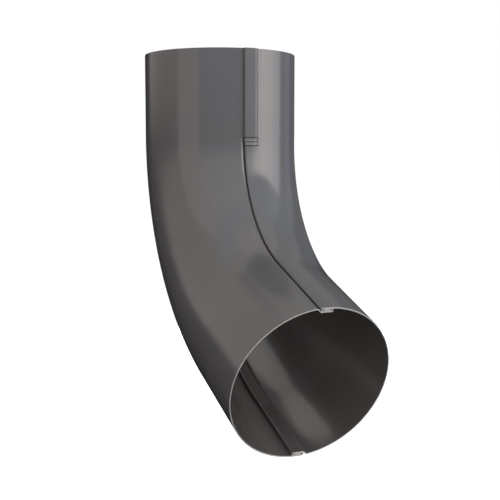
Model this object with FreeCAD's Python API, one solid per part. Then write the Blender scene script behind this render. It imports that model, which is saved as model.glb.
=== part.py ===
import FreeCAD, Part
import math
import os

# Downspout elbow of pressed steel sheet, in millimetres and degrees.
# Two half shells, left and right of the bend plane, are held together by two
# grooved lock seams: one along the throat of the bend, one along its heel.
# The origin is the centre of the socket's mouth and +Z points up, out of it.
# The tube runs down, then turns towards -Y. The bend plane is X = 0.

# Driving sizes of the tube
pipe_diameter = 87.0        # outside of the spigot, which is the size of the pipe
socket_play = 0.75          # room round a pipe in the socket, on the radius
sheet = 0.6                 # steel sheet
socket_length = 50.0        # straight part at the top
spigot_length = 49.0        # straight part at the outlet
bend_radius = 111.5         # of the centreline
bend_angle = 70.0

# Driving sizes of the lock seams
lock_width = 7.0            # from one fold to the other
layer_gap = 0.08            # play between two layers of the seam
end_gap = 0.4               # from a layer's cut edge to the middle of the fold it lies in
joggle_angle = 50.0         # slope of the step beside a seam
groove_play = 0.65          # room beside the flush fold, below the socket
socket_shift = -0.5         # seam's middle on the socket, towards the folded-over shell's far side
bend_shift = 0.3            # the same below the socket
press_length = 11.0         # of centreline, in which the seam goes from outside to inside

# Sizes that follow
spigot_radius = pipe_diameter / 2
socket_radius = spigot_radius + socket_play + sheet
pitch = sheet + layer_gap
seam_step = 3 * pitch                       # from the first of the four layers to the last
fold_radius = pitch + sheet / 2             # outside of a fold round one layer
fold_hollow = pitch - sheet / 2             # inside of the same fold
joggle_run = seam_step / math.tan(math.radians(joggle_angle))
bend_length = bend_radius * math.radians(bend_angle)

# Sections round the bend lie close enough for straight runs between them to follow it within 0.13 mm
press_steps = 6
bend_steps = 14


def station(along):
    """Centre, direction to the throat and outer radius at a length along the centreline."""
    turned = min(max(along - socket_length, 0.0), bend_length)
    angle = turned / bend_radius
    straight = along - turned
    down = min(straight, socket_length)
    out = straight - down
    y = -bend_radius * (1 - math.cos(angle)) - out * math.sin(angle)
    z = -down - bend_radius * math.sin(angle) - out * math.cos(angle)
    throat = FreeCAD.Vector(0, -math.cos(angle), math.sin(angle))
    radius = socket_radius + (spigot_radius - socket_radius) * turned / bend_length
    return FreeCAD.Vector(0, y, z), throat, radius


def slope_room(height_to_fold, room):
    """Distance along the wall from a fold's middle to the corner of the step that clears it by room."""
    slope = math.radians(joggle_angle)
    return (fold_radius + room - height_to_fold * math.cos(slope)) / math.sin(slope)


def corner_shift(height):
    """How far the sheet's other face has its corners from those of a step of this height."""
    return sheet * math.tan(math.atan2(height, joggle_run) / 2)


def hollow(fold, middle, first):
    """Inside of a fold, as three flats. first is 1 to start at the top and -1 to start at the bottom."""
    turns = [math.radians(90 * first - 60 * first * k) for k in range(4)]
    corners = [(fold + fold_hollow * math.cos(a), middle + fold_hollow * math.sin(a)) for a in turns]
    return [("step", corners[k], corners[k + 1]) for k in range(3)]


def hook_over(stand, shift):
    """Edge that lies outermost in a seam and folds inwards. Points are (past the bend plane, height)."""
    fold = lock_width / 2 - shift - fold_radius
    other_fold = -(lock_width / 2 + shift - fold_radius)
    top = other_fold - slope_room(2 * pitch + sheet / 2, layer_gap + sheet)
    foot = top - joggle_run
    back = corner_shift(stand)
    cut = other_fold + end_gap
    outer = [
        ("step", (foot, 0), (top, stand)),
        ("layer", (top, stand), (fold, stand)),
        ("fold", (fold, stand), (fold + fold_radius, stand - fold_radius), (fold, stand - 2 * fold_radius)),
        ("layer", (fold, stand - 2 * fold_radius), (cut, stand - 2 * fold_radius)),
    ]
    inner = [
        ("step", (cut, stand - 2 * fold_radius), (cut, stand - 2 * pitch)),
        ("layer", (cut, stand - 2 * pitch), (fold, stand - 2 * pitch)),
        *hollow(fold, stand - fold_radius, -1),
        ("layer", (fold, stand - sheet), (top + back, stand - sheet)),
        ("step", (top + back, stand - sheet), (foot + back, -sheet)),
    ]
    return outer + inner, (foot, 0), (foot + back, -sheet)


def hook_under(stand, shift):
    """Edge that lies innermost in a seam and folds outwards. Points are (past the bend plane, height)."""
    depth = seam_step - stand
    fold = lock_width / 2 + shift - fold_radius
    other_fold = -(lock_width / 2 - shift - fold_radius)
    foot = other_fold - slope_room(seam_step - fold_radius, groove_play)
    top = foot - joggle_run
    back = corner_shift(depth)
    cut = other_fold + end_gap
    middle = fold_radius - depth - sheet
    outermost = middle + fold_radius
    under = [
        ("step", (top - back, -sheet), (foot - back, -depth - sheet)),
        ("layer", (foot - back, -depth - sheet), (fold, -depth - sheet)),
        ("fold", (fold, -depth - sheet), (fold + fold_radius, middle), (fold, outermost)),
        ("layer", (fold, outermost), (cut, outermost)),
    ]
    over = [
        ("step", (cut, outermost), (cut, outermost - sheet)),
        ("layer", (cut, outermost - sheet), (fold, outermost - sheet)),
        *hollow(fold, middle, 1),
        ("layer", (fold, -depth), (foot, -depth)),
        ("step", (foot, -depth), (top, 0)),
    ]
    return under + over, (top - back, -sheet), (top, 0)


def section(along, stand_share, side):
    """Closed outline of one half shell across the tube. side 0 is the right shell, 1 the left one."""
    centre, throat, radius = station(along)
    across = FreeCAD.Vector(1, 0, 0)
    stand = seam_step * stand_share
    shift = bend_shift + (socket_shift - bend_shift) * stand_share

    def at_angle(angle, height):
        turn = angle + math.pi * side
        return centre + (throat * math.cos(turn) + across * math.sin(turn)) * (radius + height)

    def near_throat(point):
        return at_angle(-point[0] / radius, point[1])

    def near_heel(point):
        return at_angle(math.pi + point[0] / radius, point[1])

    def seam_edges(pieces, place):
        made = []
        for kind, *points in pieces:
            ends = [place(p) for p in points]
            if kind == "step":
                made.append(Part.LineSegment(ends[0], ends[1]).toShape())
            elif kind == "fold":
                made.append(Part.Arc(*ends).toShape())
            else:
                half_way = ((points[0][0] + points[1][0]) / 2, points[0][1])
                made.append(Part.Arc(ends[0], place(half_way), ends[1]).toShape())
        return made

    def wall(start, end, height):
        angles = [start + (end - start) * k / 4 for k in range(5)]
        spots = [at_angle(a, height) for a in angles]
        return [Part.Arc(*spots[0:3]).toShape(), Part.Arc(*spots[2:5]).toShape()]

    over, over_outer, over_inner = hook_over(stand, shift)
    under, under_inner, under_outer = hook_under(stand, shift)
    edges = seam_edges(over, near_throat)
    edges += wall(-over_inner[0] / radius, math.pi + under_inner[0] / radius, -sheet)
    edges += seam_edges(under, near_heel)
    edges += wall(math.pi + under_outer[0] / radius, -over_outer[0] / radius, 0)
    return Part.Wire(edges)


def half_shell(side):
    """One half of the elbow, from the socket's mouth to the spigot's end."""
    length = socket_length + bend_length + spigot_length
    socket_wire = section(0, 1, side)
    socket = Part.Face(socket_wire).extrude(FreeCAD.Vector(0, 0, -socket_length))
    bend_start = socket_length + press_length
    bend_end = socket_length + bend_length
    wires = [socket_wire.translated(FreeCAD.Vector(0, 0, -socket_length))]
    for k in range(1, press_steps + 1):
        share = k / press_steps
        wires.append(section(socket_length + press_length * share, 1 - share * share * (3 - 2 * share), side))
    for k in range(1, bend_steps + 1):
        wires.append(section(bend_start + (bend_end - bend_start) * k / bend_steps, 0, side))
    bend = Part.makeLoft(wires, True, True)
    end_centre = station(length)[0]
    way_out = end_centre - station(bend_end)[0]
    spigot = Part.Face(section(bend_end, 0, side)).extrude(way_out)
    return socket.fuse([bend, spigot])


os.makedirs("parts", exist_ok=True)
for name, side in (("right_half_shell", 0), ("left_half_shell", 1)):
    shell = half_shell(side)
    if shell.ShapeType == "Compound" and len(shell.Solids) == 1:
        shell = shell.Solids[0]
    shell.exportStep(f"parts/{name}.step")
    print(name, "solids", len(shell.Solids), "faces", len(shell.Faces), "volume", round(shell.Volume, 1))
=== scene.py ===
import math

import bpy
import numpy as np
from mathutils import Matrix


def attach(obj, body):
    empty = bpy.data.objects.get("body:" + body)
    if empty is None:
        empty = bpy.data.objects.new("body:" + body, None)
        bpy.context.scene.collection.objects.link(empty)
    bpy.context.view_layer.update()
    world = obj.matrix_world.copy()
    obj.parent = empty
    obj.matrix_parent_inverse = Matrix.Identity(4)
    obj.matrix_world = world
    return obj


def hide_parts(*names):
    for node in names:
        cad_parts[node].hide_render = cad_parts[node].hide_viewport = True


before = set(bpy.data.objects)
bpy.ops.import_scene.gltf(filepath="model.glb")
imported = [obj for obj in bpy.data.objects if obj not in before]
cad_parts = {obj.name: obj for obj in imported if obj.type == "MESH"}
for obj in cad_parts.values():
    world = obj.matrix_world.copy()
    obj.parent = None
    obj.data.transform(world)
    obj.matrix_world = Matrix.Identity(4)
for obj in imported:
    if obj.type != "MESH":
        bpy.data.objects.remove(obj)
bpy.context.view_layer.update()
print("frame: nodes", sorted(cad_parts))

millimetre = 0.001


# The tube: a socket on top, a bend and a spigot, all on one centreline. Millimetres and degrees, as in the CAD.
tubeForm = {
    "socketRadius": 44.85,      # outside
    "spigotRadius": 43.5,       # outside
    "sheet": 0.6,
    "socketLength": 50.0,
    "spigotLength": 49.0,
    "bendRadius": 111.5,
    "bendAngle": 70.0,
    "edgeRounding": 0.08,       # broken edge of the cut sheet
    "stationsSocket": 9,
    "stationsPress": 84,
    "stationsBend": 84,
    "stationsSpigot": 9,
    "pressMargin": 0.25,        # of close rows before the seam's first step and after its last
    "pointsWall": 64,
    "sharpAngle": 32,           # from which an edge is shaded sharp
    "capMapStep": 0.01,         # of the map, between the strips for the two ends
}

# The two lock seams: four layers of sheet, outside the socket and pressed inside below it
seamForm = {
    "width": 7.0,
    "layerGap": 0.08,
    "endGap": 0.4,
    "foldSquareness": 3.2,      # 2 for a round fold, more for a pressed one
    "overAngle": 46.0,          # slope of the step up onto a seam that stands outside
    "overCorners": (0.12, 0.30),            # shares of the step's length in its corners at the wall and the seam
    "underAngle": 46.0,         # slope of the step down into a seam that lies inside
    "underCorners": (0.45, 0.12),
    "grooveRoom": 0.06,
    "socketShift": -0.5,
    "bendShift": 0.3,
    # Steps from outside to inside: each one's middle and length along the centreline, and its share of the height
    "pressSteps": ((49.3, 0.55, 0.40), (52.9, 0.8, 0.24), (56.2, 0.8, 0.36)),
    "treadRise": 0.12,          # of the seam between two steps, as a share of its height
    "pointsLayer": 7,
    "pointsFold": 19,
    "pointsStep": 25,
    "restPoints": (0.3, 0.8, 1.6),          # on the wall, distances from a step
}

bendLength = tubeForm["bendRadius"] * math.radians(tubeForm["bendAngle"])
tubeLength = tubeForm["socketLength"] + bendLength + tubeForm["spigotLength"]
pitch = tubeForm["sheet"] + seamForm["layerGap"]
seamStep = 3 * pitch
foldRadius = pitch + tubeForm["sheet"] / 2
cornerBulge = pitch * (2 ** (0.5 - 1 / seamForm["foldSquareness"]) - 1)


def eased(share):
    # 3x^2 - 2x^3, with x held between 0 and 1
    held = np.clip(share, 0, 1)
    return held * held * (3 - 2 * held)


def stationFrame(along):
    # Straight, arc, straight. The angle turned is the length past the socket over the bend radius. The arc's
    # centre lies a bend radius towards -Y, the throat direction points to it, and the radius tapers evenly.
    turned = np.clip(along - tubeForm["socketLength"], 0, bendLength)
    angle = turned / tubeForm["bendRadius"]
    down = np.minimum(along, tubeForm["socketLength"])
    out = along - down - turned
    y = -tubeForm["bendRadius"] * (1 - np.cos(angle)) - out * np.sin(angle)
    z = -down - tubeForm["bendRadius"] * np.sin(angle) - out * np.cos(angle)
    zero = np.zeros_like(along)
    centre = np.stack([zero, y, z], axis=-1)
    throat = np.stack([zero, -np.cos(angle), np.sin(angle)], axis=-1)
    radius = tubeForm["socketRadius"] + (tubeForm["spigotRadius"] - tubeForm["socketRadius"]) * turned / bendLength
    return centre, throat, radius


def seamShare(along):
    # 1 where the seam stands outside, 0 where it lies inside: 1 - each eased step times its share, and between two
    # steps a straight rise that the next step takes back
    middles, lengths, shares = np.array(seamForm["pressSteps"]).T
    steps = eased((along[:, None] - middles) / lengths + 0.5)
    rise = np.clip((along[:, None] - middles[:-1]) / np.diff(middles), 0, 1) - steps[:, 1:]
    return 1 - (steps * shares).sum(axis=1) + seamForm["treadRise"] * rise.sum(axis=1)


def rounded(share, corners):
    # A straight ramp from 0 to 1 with a parabola at each end, which takes up that corner's share of its length
    first, last = corners
    held = np.clip(share, 0, 1)
    start = np.minimum(held, first) ** 2 / (2 * first)
    end = np.maximum(held - (1 - last), 0) ** 2 / (2 * last)
    straight = np.maximum(held - first, 0)
    return (start + straight - end) / (1 - (first + last) / 2)


def slopeRoom(heightToFold, room, slope):
    # Distance along the wall from a fold's middle to the corner of the step that clears the fold by room
    return (foldRadius + cornerBulge + room - heightToFold * math.cos(slope)) / math.sin(slope)


def flattened(height, off, stand):
    # The seam's outside is flat where it stands outside: its layers lose (w^2 - x^2) / 2r of height, w half the seam's
    # width and x the distance from its middle, all of it in the top layer and evenly less in those below
    half = seamForm["width"] / 2
    hollow = np.maximum(half ** 2 - off ** 2, 0) / (2 * tubeForm["socketRadius"])
    return height - hollow * np.clip((height + tubeForm["sheet"] / 2) / seamStep, 0, 1) * stand / seamStep


def foldTurn():
    # Half of |x|^n + |z|^n = 1, from below to above, n the squareness
    turn = np.radians(np.linspace(-90, 90, seamForm["pointsFold"]))[None, 1:]
    power = 2 / seamForm["foldSquareness"]
    return np.abs(np.cos(turn)) ** power, np.sign(np.sin(turn)) * np.abs(np.sin(turn)) ** power


def cutPoints(start, end):
    # From start to end: the cut itself, a second point where the broken edge stops, then even steps
    share = np.linspace(0, 1, seamForm["pointsLayer"])[None, :]
    away = start + np.sign(end - start) * tubeForm["edgeRounding"]
    return np.concatenate([start, away + (end - away) * share], axis=1)


def hookOver(stand, shift):
    # Middle of the sheet at the edge that lies outermost, as (past the bend plane, height). The turned-in layer
    # runs from its cut to the fold, the fold is foldTurn times one pitch, and the outer layer comes back over it
    # and goes down to the wall in a rounded step.
    half = tubeForm["sheet"] / 2
    fold = seamForm["width"] / 2 - shift - foldRadius
    otherFold = -(seamForm["width"] / 2 + shift - foldRadius)
    across = cutPoints(otherFold + seamForm["endGap"], fold)
    turnPast, turnHeight = foldTurn()
    slope = math.radians(seamForm["overAngle"])
    corners = seamForm["overCorners"]
    run = seamStep / math.tan(slope)
    ease = run / (1 - sum(corners) / 2)
    top = otherFold - slopeRoom(2 * pitch + half, seamForm["layerGap"] + tubeForm["sheet"], slope)
    foot = top - run + tubeForm["sheet"] * np.tan(np.arctan2(stand, run) / 2) / 2
    start = foot - ease * corners[0] / 2
    layer = fold + (start + ease - fold) * np.linspace(0, 1, seamForm["pointsLayer"])[None, 1:]
    step = start + ease * (1 - np.linspace(0, 1, seamForm["pointsStep"])[None, 1:])
    rest = start - np.array([seamForm["restPoints"]])
    lie = np.ones_like(across) * (stand - half - 2 * pitch)
    arc = stand - half - pitch + pitch * turnHeight
    back = np.concatenate([layer, step, rest], axis=1)
    height = -half + stand * rounded((back - start) / ease, corners)
    past = np.concatenate([across, fold + pitch * turnPast, back], axis=1)
    return past, flattened(np.concatenate([lie, arc, height], axis=1), past + shift, stand)


def hookUnder(stand, shift):
    # Middle of the sheet at the edge that lies innermost, from the wall to its cut: a rounded step inwards, the
    # inner layer, the fold as foldTurn times one pitch, and the layer that is turned out over it.
    half = tubeForm["sheet"] / 2
    depth = seamStep - stand
    fold = seamForm["width"] / 2 + shift - foldRadius
    otherFold = -(seamForm["width"] / 2 - shift - foldRadius)
    turnPast, turnHeight = foldTurn()
    slope = math.radians(seamForm["underAngle"])
    corners = seamForm["underCorners"]
    run = seamStep / math.tan(slope)
    ease = run / (1 - sum(corners) / 2)
    foot = otherFold - slopeRoom(seamStep - foldRadius, seamForm["grooveRoom"], slope)
    top = foot - run - tubeForm["sheet"] * np.tan(np.arctan2(depth, run) / 2) / 2
    start = top - ease * corners[0] / 2
    rest = start - np.array([seamForm["restPoints"][::-1]])
    step = start + ease * np.linspace(0, 1, seamForm["pointsStep"])[None, :]
    layer = start + ease + (fold - start - ease) * np.linspace(0, 1, seamForm["pointsLayer"])[None, 1:]
    across = cutPoints(otherFold + seamForm["endGap"], fold)[:, -2::-1]
    there = np.concatenate([rest, step, layer], axis=1)
    height = -half - depth * rounded((there - start) / ease, corners)
    arc = -half - depth + pitch + pitch * turnHeight
    lie = np.ones_like(across) * (-half - depth + 2 * pitch)
    past = np.concatenate([there, fold + pitch * turnPast, across], axis=1)
    return past, flattened(np.concatenate([height, arc, lie], axis=1), past - shift, stand)


def stationList():
    # Rows along the centreline: a doubled row at each end for the broken edge, close rows where the seam steps
    edge = tubeForm["edgeRounding"]
    socketEnd = tubeForm["socketLength"]
    firstStep, lastStep = seamForm["pressSteps"][0], seamForm["pressSteps"][-1]
    pressFrom = firstStep[0] - firstStep[1] / 2 - tubeForm["pressMargin"]
    pressTo = lastStep[0] + lastStep[1] / 2 + tubeForm["pressMargin"]
    bendEnd = socketEnd + bendLength
    parts = [
        np.array([0.0]),
        np.linspace(edge, pressFrom, tubeForm["stationsSocket"])[:-1],
        np.linspace(pressFrom, pressTo, tubeForm["stationsPress"]),
        np.linspace(pressTo, bendEnd, tubeForm["stationsBend"])[1:],
        np.linspace(bendEnd, tubeLength - edge, tubeForm["stationsSpigot"])[1:],
        np.array([tubeLength]),
    ]
    return np.concatenate(parts)


def halfShell(name, side):
    # point = centre + (radius + height) (cos(turn) throat + sin(turn) X), turn = angle + 180 degrees for the left
    # shell. The sheet's two faces lie half a sheet off its middle, along the profile's own normal.
    along = stationList()
    centre, throat, radius = stationFrame(along)
    share = seamShare(along)[:, None]
    stand = seamStep * share
    shift = seamForm["bendShift"] + (seamForm["socketShift"] - seamForm["bendShift"]) * share
    overPast, overHeight = hookOver(stand, shift)
    underPast, underHeight = hookUnder(stand, shift)
    around = radius[:, None]
    wallStart = -overPast[:, -1:]
    wallEnd = math.pi * around + underPast[:, :1]
    wall = wallStart + (wallEnd - wallStart) * np.linspace(0, 1, tubeForm["pointsWall"])[None, 1:-1]
    arc = np.concatenate([-overPast, wall, math.pi * around + underPast], axis=1)
    flat = np.full_like(wall, -tubeForm["sheet"] / 2)
    height = np.concatenate([overHeight, flat, underHeight], axis=1)
    runArc = np.gradient(arc, axis=1)
    runHeight = np.gradient(height, axis=1)
    length = np.hypot(runArc, runHeight)
    half = np.full_like(arc, tubeForm["sheet"] / 2)
    thin = tubeForm["sheet"] / 2 - tubeForm["edgeRounding"]
    half[[0, -1], :] = thin
    half[:, [0, -1]] = thin
    offArc = -runHeight / length * half
    offHeight = runArc / length * half
    loopArc = np.concatenate([arc + offArc, (arc - offArc)[:, ::-1]], axis=1)
    loopHeight = np.concatenate([height + offHeight, (height - offHeight)[:, ::-1]], axis=1)
    turn = loopArc / around + math.pi * side
    reach = around + loopHeight
    across = np.array([1.0, 0.0, 0.0])
    spots = centre[:, None, :] + reach[..., None] * (
        np.cos(turn)[..., None] * throat[:, None, :] + np.sin(turn)[..., None] * across)
    return sheetMesh(name, spots * millimetre, along)


def sheetMesh(name, spots, along):
    # Rows of closed loops joined by quads. The two ends are strips of quads between the loop's outer and inner
    # half. bareEdge is 1 on cut faces, and the loop's inner half takes the second material. The map runs around the
    # loop and along the tube, and the two ends lie in strips above it.
    rows, points = spots.shape[:2]
    number = np.arange(rows * points).reshape(rows, points)
    after = np.roll(number, -1, axis=1)
    sides = np.stack([number[:-1], number[1:], after[1:], after[:-1]], axis=-1).reshape(-1, 4)
    half = points // 2
    outer = number[:, :half]
    inner = number[:, ::-1][:, :half]
    first = np.stack([outer[0, :-1], outer[0, 1:], inner[0, 1:], inner[0, :-1]], axis=-1)
    last = np.stack([outer[-1, :-1], inner[-1, :-1], inner[-1, 1:], outer[-1, 1:]], axis=-1)
    faces = np.concatenate([sides, first, last])
    mesh = bpy.data.meshes.new(name)
    mesh.from_pydata(spots.reshape(-1, 3), [], faces)
    mesh.update()

    bare = np.zeros((rows - 1, points))
    bare[[0, -1], :] = 1
    bare[:, [0, half - 2, half - 1, half, points - 2, points - 1]] = 1
    bareAll = np.concatenate([bare.ravel(), np.ones(len(first) + len(last))])
    cut = mesh.attributes.new("bareEdge", "FLOAT", "FACE")
    cut.data.foreach_set("value", bareAll)
    lining = np.zeros((rows - 1, points), dtype=np.int32)
    lining[:, half:] = 1
    endFaces = np.zeros(len(first) + len(last), dtype=np.int32)
    mesh.polygons.foreach_set("material_index", np.concatenate([lining.ravel(), endFaces]))

    stepAround = np.linalg.norm(np.roll(spots, -1, axis=1) - spots, axis=2).mean(axis=0)
    place = np.concatenate([[0], np.cumsum(stepAround)]) / stepAround.sum()
    low, high = (np.broadcast_to(p, (rows - 1, points)) for p in (place[:-1], place[1:]))
    here, there = (np.broadcast_to((a / tubeLength)[:, None], (rows - 1, points)) for a in (along[:-1], along[1:]))
    sideMap = np.stack([low, here, low, there, high, there, high, here], axis=-1).reshape(-1, 2)
    capLow, capHigh = place[:half - 1], place[1:half]
    a, b, c, d = (np.full_like(capLow, 1 + tubeForm["capMapStep"] * k) for k in (1, 2, 3, 4))
    firstMap = np.stack([capLow, a, capHigh, a, capHigh, b, capLow, b], axis=-1).reshape(-1, 2)
    lastMap = np.stack([capLow, c, capLow, d, capHigh, d, capHigh, c], axis=-1).reshape(-1, 2)
    tubeMap = mesh.uv_layers.new(name="tubeMap")
    tubeMap.data.foreach_set("uv", np.concatenate([sideMap, firstMap, lastMap]).ravel())

    mesh.polygons.foreach_set("use_smooth", np.ones(len(faces), dtype=bool))
    mesh.set_sharp_from_angle(angle=math.radians(tubeForm["sharpAngle"]))
    piece = bpy.data.objects.new(name, mesh)
    bpy.context.scene.collection.objects.link(piece)
    print(name, "rows", rows, "points", points, "triangles", 2 * len(faces))
    return piece


# Finish of both shells: satin grey coating over zinc-coated steel, a warmer back coat inside and bare cut edges
coatLook = {
    "topCoat": {"dark": (0.0765, 0.0760, 0.0750, 1), "light": (0.0825, 0.0815, 0.0805, 1), "specular": 0.50},
    "backCoat": {"dark": (0.0715, 0.0655, 0.0625, 1), "light": (0.0765, 0.0705, 0.0675, 1), "specular": 0.95},
    "zinc": (0.62, 0.61, 0.59, 1),
    "zincRoughness": 0.55,
    "cloudScale": 18.0,         # slow change of tone from dark to light, per metre
    "cloudDetail": 4,
    "cloudRange": (0.35, 0.65),
    "hazeScale": 60.0,          # change of gloss, per metre
    "hazeDetail": 5,
    "hazeRange": (0.3, 0.7),
    "roughness": (0.14, 0.18),
    "peelScale": 900.0,         # orange peel of the coating, per metre
    "peelDetail": 2,
    "peelStrength": 1.0,
    "peelHeight": 0.004,        # millimetres
}


def addNode(tree, kind, x, y, **values):
    node = tree.nodes.new(kind)
    node.location = (x, y)
    for key, value in values.items():
        setattr(node, key, value)
    return node


def coatedSteel(name):
    # Each noise runs over the object's own coordinates. bareEdge mixes in the zinc, which alone is metallic.
    coat = coatLook[name]
    material = bpy.data.materials.new(name)
    material.use_nodes = True
    tree = material.node_tree
    tree.nodes.clear()
    link = tree.links.new
    place = addNode(tree, "ShaderNodeTexCoord", -1400, 0)

    def noise(kind, y, target):
        node = addNode(tree, "ShaderNodeTexNoise", -1100, y)
        node.inputs["Scale"].default_value = coatLook[kind + "Scale"]
        node.inputs["Detail"].default_value = coatLook[kind + "Detail"]
        link(place.outputs["Object"], node.inputs["Vector"])
        link(node.outputs["Fac"], target)

    tone = addNode(tree, "ShaderNodeValToRGB", -850, 300)
    for stop, position, key in zip(tone.color_ramp.elements, coatLook["cloudRange"], ("dark", "light")):
        stop.position = position
        stop.color = coat[key]
    noise("cloud", 300, tone.inputs["Fac"])
    bare = addNode(tree, "ShaderNodeAttribute", -850, 550, attribute_name="bareEdge")
    colour = addNode(tree, "ShaderNodeMix", -500, 400, data_type="RGBA")
    link(bare.outputs["Fac"], colour.inputs[0])
    link(tone.outputs["Color"], colour.inputs[6])
    colour.inputs[7].default_value = coatLook["zinc"]
    gloss = addNode(tree, "ShaderNodeMapRange", -850, 0)
    limits = coatLook["hazeRange"] + coatLook["roughness"]
    for socket, value in zip(("From Min", "From Max", "To Min", "To Max"), limits):
        gloss.inputs[socket].default_value = value
    noise("haze", 0, gloss.inputs["Value"])
    rough = addNode(tree, "ShaderNodeMix", -500, 100, data_type="FLOAT")
    link(bare.outputs["Fac"], rough.inputs[0])
    link(gloss.outputs["Result"], rough.inputs[2])
    rough.inputs[3].default_value = coatLook["zincRoughness"]
    bump = addNode(tree, "ShaderNodeBump", -500, -300)
    bump.inputs["Strength"].default_value = coatLook["peelStrength"]
    bump.inputs["Distance"].default_value = coatLook["peelHeight"] * millimetre
    noise("peel", -300, bump.inputs["Height"])
    shader = addNode(tree, "ShaderNodeBsdfPrincipled", -200, 200)
    shader.inputs["Specular IOR Level"].default_value = coat["specular"]
    link(colour.outputs[2], shader.inputs["Base Color"])
    link(bare.outputs["Fac"], shader.inputs["Metallic"])
    link(rough.outputs[0], shader.inputs["Roughness"])
    link(bump.outputs["Normal"], shader.inputs["Normal"])
    out = addNode(tree, "ShaderNodeOutputMaterial", 100, 200)
    link(shader.outputs["BSDF"], out.inputs["Surface"])
    return material


topCoat = coatedSteel("topCoat")
backCoat = coatedSteel("backCoat")
for side, name in enumerate(("right_half_shell", "left_half_shell")):
    shell = halfShell(name.replace("half_shell", "pressed_shell"), side)
    shell.data.materials.append(topCoat)
    shell.data.materials.append(backCoat)
    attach(shell, "root")
    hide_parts(name)


# Studio: a pale floor well below the hanging elbow, and a soft surround in zones. Each zone has its azimuth
# (0 towards -Y, 90 towards +X), the half width, the softness of its sides, its lowest and highest elevation with
# the softness of those, and its light. Degrees.
studio = {
    "floorHeight": -0.40,
    "floorSize": 12.0,
    "floorTone": (0.9, 0.9, 0.9, 1),
    "floorGlow": 0.15,
    "floorRoughness": 1.0,
    "floorSpecular": 0.0,
    "strength": 1.25,
    "zones": {
        "left": (-122, 34, 14, 3, 55, 8, (0.74, 0.67, 0.65)),
        "frontLeft": (-71, 17, 6, -2, 55, 6, (1.06, 0.98, 0.97)),
        "frontLeftLow": (-71, 17, 6, -24, -2, 6, (0.02, 0.06, 0.22)),
        "front": (-20, 34, 6, 10, 55, 8, (1.07, 1.06, 1.12)),
        "frontMiddle": (-20, 34, 6, 0, 10, 4, (0.46, 0.50, 0.64)),
        "frontLow": (-20, 34, 10, -25, -4, 8, (2.40, 2.08, 1.82)),
        "frontLowest": (-37, 17, 10, -30, -15, 8, (1.75, 2.05, 2.15)),
        "edgeLow": (24.5, 11, 8, -19, -2, 6, (0.20, 0.20, 0.20)),
        "edgeMiddle": (24.5, 11, 8, -2, 10, 5, (0.85, 0.94, 1.08)),
        "edgeHigh": (24.5, 11, 8, 10, 28, 7, (1.90, 1.95, 2.03)),
        "softbox": (46.75, 13.75, 20, -4, 26, 7, (4.55, 4.25, 4.15)),
        "softboxRight": (70.5, 10.5, 10, -6, 28, 7, (2.50, 2.46, 2.60)),
        "rightHigh": (49, 35, 8, 28, 55, 8, (0.81, 0.92, 1.08)),
        "right": (97, 13, 8, -20, 55, 8, (0.40, 0.46, 0.58)),
        "backLow": (125, 15, 10, -20, 28, 8, (0.12, 0.13, 0.14)),
        "backHigh": (150, 40, 10, 28, 55, 8, (0.36, 0.37, 0.38)),
        "ringFront": (-20, 100, 20, 55, 75, 8, (0.80, 0.84, 0.92)),
        "ringBack": (160, 80, 20, 55, 75, 8, (0.80, 0.73, 0.69)),
        "top": (0, 180, 0, 75, 95, 8, (1.02, 0.96, 0.92)),
        "floorBounce": (0, 180, 0, -95, -60, 8, (0.24, 0.24, 0.24)),
    },
}


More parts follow.
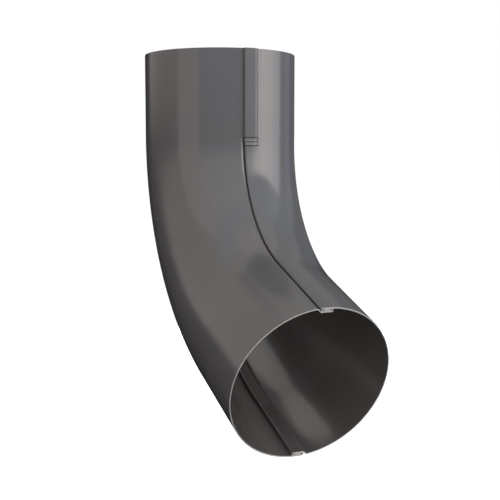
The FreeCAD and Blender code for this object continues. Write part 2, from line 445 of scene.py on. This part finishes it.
def surround():
    # Light from a direction = sum over the zones of (nearness to the zone's azimuth, eased) x (elevation between
    # its limits, eased) x the zone's light. Rays that come straight from the camera see white.
    world = bpy.data.worlds.new("surround")
    bpy.context.scene.world = world
    world.use_nodes = True
    tree = world.node_tree
    tree.nodes.clear()
    link = tree.links.new

    def maths(kind, *values):
        node = addNode(tree, "ShaderNodeMath", 0, 0, operation=kind)
        for socket, value in zip(node.inputs, values):
            if isinstance(value, float):
                socket.default_value = value
            else:
                link(value, socket)
        return node.outputs[0]

    def beyond(angle, limit, soft):
        node = addNode(tree, "ShaderNodeMapRange", 0, 0, interpolation_type="SMOOTHSTEP")
        node.inputs["From Min"].default_value = math.radians(limit - soft / 2)
        node.inputs["From Max"].default_value = math.radians(limit + soft / 2)
        link(angle, node.inputs["Value"])
        return node.outputs["Result"]

    place = addNode(tree, "ShaderNodeTexCoord", -1200, 0)
    split = addNode(tree, "ShaderNodeSeparateXYZ", -1000, 0)
    link(place.outputs["Generated"], split.inputs[0])
    x, y, z = split.outputs
    azimuth = maths("ARCTAN2", x, maths("MULTIPLY", y, -1.0))
    elevation = maths("ARCSINE", z)
    total = None
    for middle, halfWidth, soft, low, high, softEnds, light in studio["zones"].values():
        mask = beyond(elevation, low, softEnds)
        if high < 90:
            mask = maths("MULTIPLY", mask, maths("SUBTRACT", 1.0, beyond(elevation, high, softEnds)))
        if halfWidth < 180:
            off = maths("ARCCOSINE", maths("COSINE", maths("SUBTRACT", azimuth, math.radians(middle))))
            mask = maths("MULTIPLY", mask, maths("SUBTRACT", 1.0, beyond(off, halfWidth, soft)))
        glow = addNode(tree, "ShaderNodeVectorMath", 0, 0, operation="SCALE")
        glow.inputs[0].default_value = light
        link(mask, glow.inputs["Scale"])
        if total is None:
            total = glow.outputs[0]
        else:
            both = addNode(tree, "ShaderNodeVectorMath", 0, 0, operation="ADD")
            link(total, both.inputs[0])
            link(glow.outputs[0], both.inputs[1])
            total = both.outputs[0]
    studioLight = addNode(tree, "ShaderNodeBackground", 300, 0)
    studioLight.inputs["Strength"].default_value = studio["strength"]
    link(total, studioLight.inputs["Color"])
    white = addNode(tree, "ShaderNodeBackground", 300, -200)
    white.inputs["Color"].default_value = (1, 1, 1, 1)
    rays = addNode(tree, "ShaderNodeLightPath", 300, 300)
    choice = addNode(tree, "ShaderNodeMixShader", 500, 0)
    link(rays.outputs["Is Camera Ray"], choice.inputs[0])
    link(studioLight.outputs[0], choice.inputs[1])
    link(white.outputs[0], choice.inputs[2])
    out = addNode(tree, "ShaderNodeOutputWorld", 700, 0)
    link(choice.outputs[0], out.inputs["Surface"])


def paleFloor():
    # It is seen, but isn't reflected, doesn't light the elbow and casts no shadow, as in the photo
    size = studio["floorSize"] / 2
    z = studio["floorHeight"]
    mesh = bpy.data.meshes.new("floor")
    mesh.from_pydata([(-size, -size, z), (size, -size, z), (size, size, z), (-size, size, z)], [], [(0, 1, 2, 3)])
    material = bpy.data.materials.new("paleFloor")
    material.use_nodes = True
    shader = material.node_tree.nodes["Principled BSDF"]
    shader.inputs["Base Color"].default_value = studio["floorTone"]
    shader.inputs["Emission Color"].default_value = studio["floorTone"]
    shader.inputs["Emission Strength"].default_value = studio["floorGlow"]
    shader.inputs["Roughness"].default_value = studio["floorRoughness"]
    shader.inputs["Specular IOR Level"].default_value = studio["floorSpecular"]
    mesh.materials.append(material)
    floor = bpy.data.objects.new("floor", mesh)
    bpy.context.scene.collection.objects.link(floor)
    floor.visible_glossy = False
    floor.visible_diffuse = False
    floor.visible_shadow = False
    return floor


# A soft light opposite the photo's camera, for the side that the photo doesn't show. Metres, degrees and watts.
backLight = {
    "middle": (0.0, -0.05, -0.10),
    "azimuth": 158,
    "elevation": 0,
    "distance": 1.2,
    "size": 1.0,
    "power": 17,
}


def softLight():
    # Place = middle + distance (sin a cos e, -cos a cos e, sin e), a the azimuth and e the elevation. The camera and
    # reflections don't see it.
    azimuth, elevation = (math.radians(backLight[key]) for key in ("azimuth", "elevation"))
    lamp = bpy.data.lights.new("backLight", "AREA")
    lamp.size = backLight["size"]
    lamp.energy = backLight["power"]
    light = bpy.data.objects.new("backLight", lamp)
    bpy.context.scene.collection.objects.link(light)
    away = np.array([math.sin(azimuth) * math.cos(elevation), -math.cos(azimuth) * math.cos(elevation),
                     math.sin(elevation)])
    light.location = np.array(backLight["middle"]) + backLight["distance"] * away
    light.rotation_euler = (math.pi / 2 - elevation, 0, azimuth)
    light.visible_camera = False
    light.visible_glossy = False


surround()
softLight()
floor = paleFloor()
print("studio: zones", len(studio["zones"]))


# Camera at the photo's viewing angle: metres and degrees
viewpoint = {
    "place": (-0.19256, -0.47827, -0.05915),
    "turn": 23.9376,            # from +Y towards +X
    "tilt": -5.0538,
    "lens": 60.779,
    "shift": -0.04,
    "sensor": 36.0,
    "clipStart": 0.01,
}
lensData = bpy.data.cameras.new("camera")
lensData.sensor_width = viewpoint["sensor"]
lensData.lens = viewpoint["lens"]
lensData.shift_y = viewpoint["shift"]
lensData.clip_start = viewpoint["clipStart"]
camera = bpy.data.objects.new("camera", lensData)
bpy.context.scene.collection.objects.link(camera)
camera.location = viewpoint["place"]
camera.rotation_euler = (math.radians(90 + viewpoint["tilt"]), 0, math.radians(-viewpoint["turn"]))
bpy.context.scene.camera = camera
bpy.context.scene.view_settings.view_transform = "Standard"
bpy.context.scene.view_settings.look = "None"
print("camera: lens", viewpoint["lens"])
